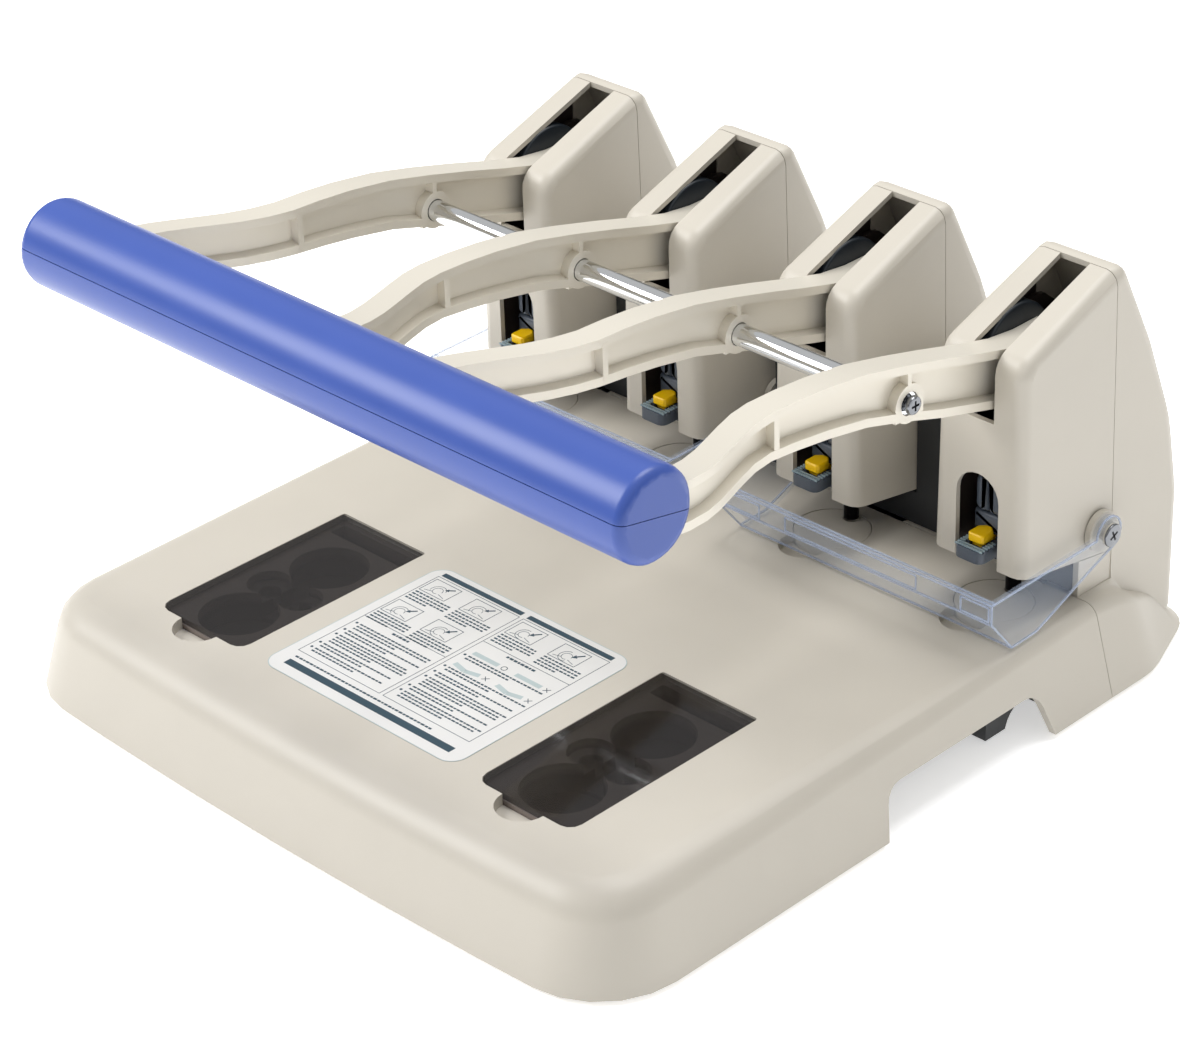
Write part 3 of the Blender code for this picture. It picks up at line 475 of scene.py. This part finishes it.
def arc(u, v, radius, first, last, width, steps=14):
    """A round stroke: two radii swept between two angles, joined at their ends."""
    turns = np.radians(np.linspace(first, last, steps))
    spokes = np.stack([np.cos(turns), np.sin(turns)], -1)
    outer = (radius + width / 2) * spokes
    inner = (radius - width / 2) * spokes
    return [np.array([outer[k], outer[k + 1], inner[k + 1], inner[k]]) + (u, v)
            for k in range(steps - 1)]


def dot(u, v, radius, sides=12):
    """A filled round spot."""
    turns = np.linspace(0, 2 * math.pi, sides, endpoint=False)
    return np.stack([u + radius * np.cos(turns), v + radius * np.sin(turns)], -1)


def dashes(u0, u1, v, height, seed):
    """A row of plain dashes of uneven length, standing for a line of small print."""
    lengths = 0.9 + 0.9 * np.abs(np.sin(seed * 12.9898 + 4.1414 * np.arange(80)))
    starts = u0 + np.concatenate([[0], np.cumsum(lengths + 0.45)[:-1]])
    keep = starts + lengths < u1
    return [bar(a, a + w, v, v + height) for a, w in zip(starts[keep], lengths[keep])]


def paragraph(u0, u1, top, rows, seed, pitch=1.75, last=0.6):
    """Rows of dashes from top downwards, the last one cut short."""
    strokes = []
    for row in range(rows):
        end = u1 if row < rows - 1 else u0 + (u1 - u0) * last
        strokes += dashes(u0, end, top - row * pitch - 0.85, 0.8, seed + row)
    return strokes


def cross(u, v, size):
    """Two strokes at right angles."""
    return [line((u - size, v - size), (u + size, v + size), 0.3),
            line((u - size, v + size), (u + size, v - size), 0.3)]


def arrow(start, end):
    """A shaft with a pointed head a third of its length."""
    start, end = np.array(start, float), np.array(end, float)
    along = end - start
    across = np.array([-along[1], along[0]]) * 0.22
    neck = start + along * 0.6
    return [line(start, neck, 0.7), np.array([neck - across, end, neck + across])]


def picture(u, v, seed):
    """A generic line drawing of a rounded part in a panel, with one arrow."""
    strokes = border(u, u + 13.5, v, v + 9.5)
    strokes += arc(u + 6.5, v + 3.6, 3.3, 20 + 15 * seed, 200 + 20 * seed, 0.22)
    strokes += arc(u + 6.5, v + 3.6, 2.1, 0, 300, 0.2)
    strokes += [line((u + 1.5, v + 1.2), (u + 5, v + 2.2), 0.22),
                line((u + 8.4, v + 2), (u + 12, v + 1), 0.22)]
    strokes += arrow((u + 11.5, v + 8.2), (u + 8.3, v + 5.6 - 0.3 * seed))
    return strokes


def label_print():
    """Dark strokes and pale swatches of the instruction label, placed from its middle.

    Its left half has four drawings over notes, its right half two drawings, four samples and
    notes. There is no lettering.
    """
    dark = [bar(-46, -3, 40.2, 42.6), bar(0, 44, 40.2, 42.6), bar(-44, 44, -40.4, -37.0)]
    pale = []
    dark += border(-46.5, -2.5, -31, 39.2, 0.22) + border(-0.5, 44.5, -31, 39.2, 0.22)
    for column, row, seed in ((0, 0, 0), (1, 0, 1), (0, 1, 2), (1, 1, 3)):
        u, v = -45.3 + 21.6 * column, 28 - 19.5 * row
        dark += picture(u, v, seed)
        dark += paragraph(u, u + 19.5, v - 1.2, 4, 10 * seed + 3)
    dark += [line((-46.5, 1.6), (-2.5, 1.6), 0.22)] + dashes(-29, -19, -0.9, 1.1, 5)
    blocks = ((-3.4, 3), (-9.4, 2), (-13.6, 4), (-21.4, 2), (-25.6, 2))
    for k, (top, rows) in enumerate(blocks):
        dark.append(dot(-44.6, top - 0.5, 0.6))
        dark += paragraph(-42.8, -4.5, top, rows, 50 + 7 * k)
    for column in (0, 1):
        u = 1 + 22.5 * column
        dark += picture(u, 28, column + 4)
        dark += paragraph(u, u + 19.5, 26.8, 4, 90 + 9 * column)
    dark += [line((-0.5, 18.6), (44.5, 18.6), 0.22)] + dashes(14, 30, 16.2, 1.1, 8)
    for k, (u, v) in enumerate(((3, 10.6), (25, 10.6), (3, 1.2), (25, 1.2))):
        pale.append(line((u, v), (u + 6.5, v - 1.5 * (k > 1)), 2.2))
        pale.append(line((u + 6.5, v - 1.5 * (k > 1)), (u + 13, v), 2.2))
        dark += arc(u + 16, v, 1.2, 0, 360, 0.3) if k == 0 else cross(u + 16, v, 1.1)
    blocks = ((8.2, 2), (-1.8, 2), (-6.8, 2), (-11.2, 4), (-19.2, 2), (-23.4, 3))
    for k, (top, rows) in enumerate(blocks):
        dark.append(dot(1.4, top - 0.5, 0.6))
        dark += paragraph(3.2, 43, top, rows, 130 + 11 * k)
    dark += dashes(-44, 30, -34.9, 0.9, 77)
    return dark, pale


class PUNCH_OT_label(bpy.types.Operator):
    """Lays the instruction label on the base between the two disc trays"""
    bl_idname = "punch.label"
    bl_label = "Instruction label"

    def execute(self, context):
        sizes = context.scene.punch_sizes
        front, back = bench("tray_lid_left")[0].y, bench("tray_lid_left")[1].y
        middle = np.array([0, (front + back) / 2 - 1.2])
        half, deep = sizes.label_width / MM / 2, sizes.label_depth / MM / 2
        radius = sizes.label_corner / MM
        corners = ((-half, -deep), (half, -deep), (half, deep), (-half, deep))
        outline = rounded([(u, v, radius) for u, v in corners], 10)
        base, film = 0.03, 0.14
        ink, sunk = film + sizes.ink / MM, film - 0.05
        shapes = [(plate(outline + middle, base, film), 0)]
        rim = inset(outline, 0.35)  # a pale line runs round the film's edge
        follow, rim_follow = np.roll(outline, -1, 0), np.roll(rim, -1, 0)
        quads = np.stack([outline, follow, rim_follow, rim], 1) + middle
        shapes += [(plate(quad, sunk, film + 0.02), 2) for quad in quads]
        dark, pale = label_print()
        shapes += [(plate(stroke + middle, sunk, ink), 1) for stroke in dark]
        shapes += [(plate(swatch + middle, sunk, ink - 0.02), 2) for swatch in pale]
        finishes = ("label_film", "label_ink", "label_tint")
        piece("instruction_label", shapes, finishes, "machine")
        return {"FINISHED"}


# ---------------------------------------------------------------- heads

HUB = (6, 95.6)  # the levers' hinge line, as (y, z)
CAM_OFFSET = 5.9  # from a head's middle to the near face of its cam plate
HEAD_TAPER, HEAD_FOOT = 0.00102, 21  # share of its width lost per millimetre above its foot
HEAD_WALL = 2.2
HEAD_NOSE, HEAD_CROWN = 102.5, 121.6  # heights between which the roof slopes
SLOT_FOOT, SLOT_HIGH = 80.3, 97  # the lever's slot in a head's front, from and to


def ring_of(radius, centre, sides):
    """A circle's points from its centre and the radius turned evenly once round."""
    turns = np.linspace(0, 2 * math.pi, sides, endpoint=False)
    return radius * np.stack([np.cos(turns), np.sin(turns)], -1) + centre


class PUNCH_OT_cams(bpy.types.Operator):
    """Sets a blacked cam plate beside each lever hub"""
    bl_idname = "punch.cams"
    bl_label = "Cam plates"

    def execute(self, context):
        sizes = context.scene.punch_sizes
        thickness = sizes.cam_thickness / MM
        disc = ring_of(sizes.cam_radius / MM, HUB, 64)
        for number, x in zip(HEAD_NUMBERS, HEADS):
            near = x - CAM_OFFSET
            rings = slab_rings(disc, "X", near - thickness, near, 1.0, 4)
            name = f"cam_plate_{number}"
            piece(name, [(rings, 0)], ("cam_steel",), "machine")
        return {"FINISHED"}


class PUNCH_OT_shade_sheets(bpy.types.Operator):
    """Paints the shade inside the upper half of each head as a dark sheet, with room for the lever
    in front
    """
    bl_idname = "punch.liners"
    bl_label = "Head liners"

    def execute(self, context):
        thick = context.scene.punch_sizes.liner / MM
        low, high = bench("head_cover_1")
        half = (high.x - low.x) / 2 - HEAD_WALL
        narrow = 1 - HEAD_TAPER * 100
        front, back, foot = low.y + 2.35, 29.5, 60
        side = np.array([(front, foot), (front, 96), (front + 3, HEAD_NOSE),
                         (back, HEAD_CROWN), (back, foot)], float)
        for number, x in zip(HEAD_NUMBERS, HEADS):
            shapes = []
            for sign in (-1, 1):
                rings = []
                for away in (0.2, 0.2 + thick):
                    reach = half * (1 - HEAD_TAPER * (side[:, 1] - HEAD_FOOT)) - away
                    rings.append(np.column_stack([x + sign * reach, side]))
                shapes.append((np.array(rings), 0))
                inner, outer = sorted((x + sign * 7.2, x + sign * (half * narrow - 0.6)))
                strip = bar(inner, outer, front, front + thick)
                shapes.append((plate(strip, SLOT_FOOT, SLOT_HIGH), 0))
            across = bar(x - half * narrow + 0.6, x + half * narrow - 0.6, front, front + thick)
            shapes.append((plate(across, foot, SLOT_FOOT), 0))
            piece(f"head_liner_{number}", shapes, ("dark_steel",), "machine")
        return {"FINISHED"}


# A guard's profile as (y, z): its upper front, lower front and sole, then back up to its eye
GUARD_TOP, GUARD_FRONT, GUARD_TOE = (-46, 24), (-46, 16), (-34, 1.2)
GUARD_SOLE = [(-20, 1.6), (-12, 4.6), (10, 13.4)]
GUARD_EYE = 7  # radius of the eye round the pivot screw
PAD_LOW, PAD_HIGH = 17.5, 23.2  # heights of the raised pads on a guard's front


class PUNCH_OT_guard_edge_highlights(bpy.types.Operator):
    """Draws a painted highlight as bright rims on each clear guard: its two ends, its long edges
    and its raised pads
    """
    bl_idname = "punch.guard_edges"
    bl_label = "Guard edges"

    def execute(self, context):
        thin = context.scene.punch_sizes.rim / MM
        for word in ("left", "right"):
            low, high = bench(f"guard_{word}")
            middle = (low.x + high.x) / 2
            y, z = middle_of_screws(word)
            turns = np.radians(np.linspace(-60, 181, 14))
            eye = np.stack([y + GUARD_EYE * np.cos(turns), z + GUARD_EYE * np.sin(turns)], -1)
            flank = np.concatenate([eye, [GUARD_TOP, GUARD_FRONT, GUARD_TOE] + GUARD_SOLE])
            shapes = []
            for side in (low.x - 0.05, high.x - thin + 0.05):
                for start, end in zip(flank, np.roll(flank, -1, 0)):
                    stroke = line(start, end, thin)
                    shapes.append((slab_rings(stroke, "X", side, side + thin), 0))
            for a, b in (GUARD_TOP, (-44, 24), GUARD_FRONT, GUARD_TOE):
                rim = bar(a - thin / 2, a + thin / 2, b - thin / 2, b + thin / 2)
                shapes.append((slab_rings(rim, "X", low.x + 0.3, high.x - 0.3), 0))
            pads = ((low.x + 1, low.x + 22), (middle - 32, middle + 32),
                    (high.x - 14, high.x - 1))
            for x0, x1 in pads:
                for stroke in border(x0, x1, PAD_LOW, PAD_HIGH, thin):
                    shapes.append((slab_rings(stroke, "Y", -47.0, -46.6), 0))
            piece(f"guard_edge_{word}", shapes, ("polycarbonate_edge_highlight",), f"guard_{word}")
        return {"FINISHED"}


SCREW_HEAD = 4.6  # radius of a guard screw's head


class PUNCH_OT_screw_caps(bpy.types.Operator):
    """Caps each guard's pivot screw with a dull steel head and its cross recess"""
    bl_idname = "punch.screw_caps"
    bl_label = "Guard screw heads"

    def execute(self, context):
        for word in ("left", "right"):
            for number, sign in ((1, -1), (2, 1)):
                low, high = bench(f"guard_{word}_screw_{number}")
                y, z = (low.y + high.y) / 2, (low.z + high.z) / 2
                face = high.x if sign > 0 else low.x
                inside, outside = sorted((face - sign * 0.9, face + sign * 0.35))
                disc = ring_of(SCREW_HEAD, (y, z), 40)
                shapes = [(slab_rings(disc, "X", inside, outside, 0.5, 4), 0)]
                inside, outside = sorted((face, face + sign * 0.42))
                for stroke in (line((y - 2, z - 0.9), (y + 2, z + 0.9), 0.8),
                               line((y - 0.9, z + 2), (y + 0.9, z - 2), 0.8)):
                    shapes.append((slab_rings(stroke, "X", inside, outside), 1))
                finishes = ("bright_steel", "black_oxide_steel")
                name = f"guard_screw_cap_{word}_{number}"
                piece(name, shapes, finishes, "machine")
        return {"FINISHED"}


LOBE_SIDE, LOBE_FOOT = 6.2, 39.5  # a sleeve lobe's outer side and its lower end
COLLAR = (30.2, 38.6)  # heights of the collar under the lobes
BACK_HALF, BACK_PLATE = 8.4, (30.4, 60)  # half width and heights of the plate behind the lobes
RIB_FIRST, RIB_PITCH, RIB_DEPTH = -27.2, 1.55, 0.7  # the grip ribs across a cassette's tab


class PUNCH_OT_sleeves(bpy.types.Operator):
    """Stands a two-lobed release sleeve in front of each punch, behind the head's window"""
    bl_idname = "punch.sleeves"
    bl_label = "Release sleeves"

    def execute(self, context):
        sizes = context.scene.punch_sizes
        half, top = sizes.sleeve_half / MM, sizes.sleeve_top / MM
        for number, x in zip(HEAD_NUMBERS, HEADS):
            shapes = []
            for sign in (-1, 1):
                lobe = [(x + sign * 0.35, LOBE_FOOT, 0.8), (x + sign * LOBE_SIDE, LOBE_FOOT, 2.6),
                        (x + sign * LOBE_SIDE, top - 3, 4.5), (x + sign * 0.35, top, 0.8)]
                shapes.append((slab_rings(rounded(lobe), "Y", -16.6, -8, 2.4, 6), 0))
            low, high = COLLAR
            collar = [(x - half, low, 0.8), (x + half, low, 0.8),
                      (x + half, high, 0.8), (x - half, high, 0.8)]
            shapes.append((slab_rings(rounded(collar), "Y", -15.4, -7, 1.8, 5), 0))
            low, high = BACK_PLATE
            back = [(x - BACK_HALF, low, 1), (x + BACK_HALF, low, 1),
                    (x + BACK_HALF, high, 5), (x - BACK_HALF, high, 5)]
            shapes.append((slab_rings(rounded(back), "Y", -10.5, -8.2, 0.6, 3), 0))
            # The first two ribs run across, and the rest pass on both sides of the yellow lock
            whole = ((x - 6.2, x + 6.2),)
            split = ((x - 6.2, x - 4.1), (x + 4.1, x + 6.2))
            for row in range(6):
                v = RIB_FIRST + RIB_PITCH * row
                for u0, u1 in whole if row < 2 else split:
                    shapes.append((plate(bar(u0, u1, v, v + RIB_DEPTH), 29.3, 29.95), 1))
            piece(f"release_sleeve_{number}", shapes, ("slate_nylon", "slate_rib"),
                  f"punch_{number}")
        return {"FINISHED"}


# ---------------------------------------------------------------- stage

FLOOR_HALF = 14.0  # metres
# The camera, in metres: its place, the way it looks, its roll in degrees and its lens
CAMERA_PLACE = (0.8329, -0.81368, 0.73069)
CAMERA_AHEAD = (-0.62135, 0.60405, -0.49904)
CAMERA_ROLL = 2.043
CAMERA_LENS, CAMERA_SENSOR = 107.68, 36  # millimetres
# Square lamps: name, place, power in watts and width; both look at LAMP_AIM
LAMPS = (
    ("key", (-1.7, -1.6, 2.0), 56, 1.5),
    ("top", (-0.1, 0.9, 2.6), 46, 1.6),
)
LAMP_AIM = (0, 0, 0.08)


class PUNCH_OT_stage(bpy.types.Operator):
    """Lays a white paper floor and sets soft studio light and the camera"""
    bl_idname = "punch.stage"
    bl_label = "Studio"

    def execute(self, context):
        scene = context.scene
        mesh = bpy.data.meshes.new("floor")
        signs = ((-1, -1), (1, -1), (1, 1), (-1, 1))
        corners = [(a * FLOOR_HALF, b * FLOOR_HALF, 0) for a, b in signs]
        mesh.from_pydata(corners, [], [(0, 1, 2, 3)])
        mesh.materials.append(finish("studio_paper"))
        floor = bpy.data.objects.new("floor", mesh)
        scene.collection.objects.link(floor)

        # A white sky over a greyer horizon, which puts the dark streaks into polished metal
        world = bpy.data.worlds.new("studio")
        scene.world = world
        world.use_nodes = True
        tree = world.node_tree
        ray = add(tree, "ShaderNodeTexCoord").outputs["Generated"]
        height = add(tree, "ShaderNodeSeparateXYZ", Vector=ray).outputs["Z"]
        sky = add(
            tree, "ShaderNodeMapRange", Value=height, From_Min=0.12, From_Max=0.5,
            To_Min=0.12, To_Max=0.62)
        back = tree.nodes["Background"]
        back.inputs["Color"].default_value = (1, 1, 1, 1)
        tree.links.new(sky.outputs["Result"], back.inputs["Strength"])

        for name, place, power, width in LAMPS:
            lamp = bpy.data.lights.new(name, "AREA")
            lamp.shape = "SQUARE"
            lamp.size = width
            lamp.energy = power
            holder = bpy.data.objects.new(name, lamp)
            holder.location = place
            aim = Vector(LAMP_AIM) - Vector(place)
            holder.rotation_euler = aim.to_track_quat("-Z", "Y").to_euler()
            scene.collection.objects.link(holder)

        camera = bpy.data.cameras.new("camera")
        camera.sensor_fit = "HORIZONTAL"
        camera.sensor_width = CAMERA_SENSOR
        camera.lens = CAMERA_LENS
        holder = bpy.data.objects.new("camera", camera)
        ahead = Vector(CAMERA_AHEAD).normalized()
        level = ahead.cross(Vector((0, 0, 1))).normalized()
        right = Matrix.Rotation(math.radians(CAMERA_ROLL), 3, ahead) @ level
        turn = Matrix((right, right.cross(ahead), -ahead)).transposed().to_4x4()
        holder.matrix_world = Matrix.Translation(CAMERA_PLACE) @ turn
        scene.collection.objects.link(holder)
        scene.camera = holder
        scene.view_settings.view_transform = "Standard"
        return {"FINISHED"}


OPERATORS = (
    PUNCH_OT_finishes, PUNCH_OT_label, PUNCH_OT_cams, PUNCH_OT_shade_sheets, PUNCH_OT_guard_edge_highlights,
    PUNCH_OT_screw_caps, PUNCH_OT_sleeves, PUNCH_OT_stage,
)


class PUNCH_PT_panel(bpy.types.Panel):
    """Lists the sizes, the colours and the steps that build the punch's looks"""
    bl_idname = "PUNCH_PT_panel"
    bl_label = "Lever punch"
    bl_space_type = "VIEW_3D"
    bl_region_type = "UI"
    bl_category = "Punch"

    def draw(self, context):
        for group in (context.scene.punch_sizes, context.scene.punch_colours):
            column = self.layout.column(align=True)
            for name in group.bl_rna.properties.keys():
                if name not in ("rna_type", "name"):
                    column.prop(group, name)
        for operator in OPERATORS:
            self.layout.operator(operator.bl_idname)


CLASSES = (PunchSizes, PunchColours, *OPERATORS, PUNCH_PT_panel)


def register():
    for kind in CLASSES:
        bpy.utils.register_class(kind)
    bpy.types.Scene.punch_sizes = bpy.props.PointerProperty(type=PunchSizes)
    bpy.types.Scene.punch_colours = bpy.props.PointerProperty(type=PunchColours)


def unregister():
    del bpy.types.Scene.punch_colours
    del bpy.types.Scene.punch_sizes
    for kind in reversed(CLASSES):
        bpy.utils.unregister_class(kind)


def main():
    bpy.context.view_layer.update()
    register()
    bpy.ops.punch.finishes()
    bpy.ops.punch.label()
    bpy.ops.punch.cams()
    bpy.ops.punch.liners()
    bpy.ops.punch.guard_edges()
    bpy.ops.punch.screw_caps()
    bpy.ops.punch.sleeves()
    bpy.ops.punch.stage()


if __name__ == "__main__":
    main()
